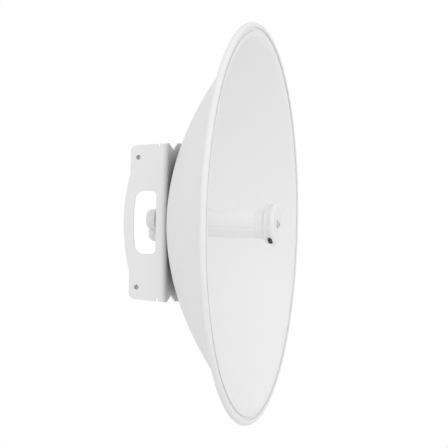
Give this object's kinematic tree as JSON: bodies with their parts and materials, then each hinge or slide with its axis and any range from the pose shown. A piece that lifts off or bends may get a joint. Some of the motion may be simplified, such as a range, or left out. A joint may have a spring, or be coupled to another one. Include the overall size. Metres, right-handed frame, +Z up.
{
  "type": "satellite dish antenna",
  "caption": "Round parabolic dish antenna with a rolled lip, a feed head on a tube ahead of the bowl, and an offset rear bracket with a hand hole and two threaded inserts.",
  "frame": {"origin": "centre of the upper threaded insert's mouth, on the outer face of the bracket's side plate", "axes": "the dish looks along -Y, +Z is up, and +X is to the right for someone facing the bowl from the front"},
  "size_m": [0.65, 0.2378, 0.6498],
  "materials": {
    "white_powder_coat": "satin powder coat, white",
    "tube_paint": "satin paint, white",
    "white_moulding": "fine-textured white moulding",
    "neck_moulding": "satin light grey moulding",
    "cover_moulding": "satin white moulding",
    "cast_aluminium": "bead-blasted cast aluminium",
    "turned_aluminium": "turned aluminium",
    "stainless": "stainless steel",
    "zinc_steel": "zinc-plated steel",
    "gold_plate": "gold-plated brass",
    "ptfe": "smooth white dielectric",
    "black_rubber": "black rubber",
    "grey_silicone": "light grey silicone rubber",
    "insert_coat": "thin white powder coat"
  },
  "bodies": {
    "dish": {"reflector": "white_powder_coat", "bracket": "white_powder_coat", "threaded_inserts": "insert_coat", "front_ring": "turned_aluminium", "hub_sleeve": "cast_aluminium", "tube_seal": "black_rubber", "hub_screws": "stainless", "reflector_bolts": "stainless", "flat_washers": "stainless", "spring_washers": "zinc_steel", "hex_nuts": "stainless", "clamp_screws": "stainless", "clamp_washers": "stainless"},
    "feed": {"feed_tube": "tube_paint", "feed_neck": "neck_moulding", "dielectric_cone": "ptfe", "sub_reflector": "turned_aluminium", "head_shell": "white_moulding", "head_cap": "white_moulding", "head_seal": "black_rubber", "head_screw": "stainless", "drain_plug": "black_rubber", "transducer_body": "cast_aluminium", "backshort_plate": "turned_aluminium", "cover_seal": "grey_silicone", "rear_cover": "cover_moulding", "cover_screws": "stainless", "jack_gaskets": "black_rubber", "jack_screws": "stainless", "side_jack_body": "gold_plate", "side_jack_insulator": "ptfe", "side_jack_pin": "gold_plate", "down_jack_body": "gold_plate", "down_jack_insulator": "ptfe", "down_jack_pin": "gold_plate"},
    "side_cap": {"side_dust_cap": "black_rubber"},
    "down_cap": {"down_dust_cap": "black_rubber"}
  },
  "joints": [
    {"name": "feed_turn", "type": "hinge", "parent": "dish", "child": "feed", "pos_m": [0.081, -0.04172, -0.104], "axis": [0, 1, 0], "range_deg": [-45, 45]},
    {"name": "side_cap_pull", "type": "slide", "parent": "feed", "child": "side_cap", "axis": [1, 0, 0], "range_m": [0, 0.014]},
    {"name": "down_cap_pull", "type": "slide", "parent": "feed", "child": "down_cap", "axis": [0, 0, -1], "range_m": [0, 0.014]}
  ]
}
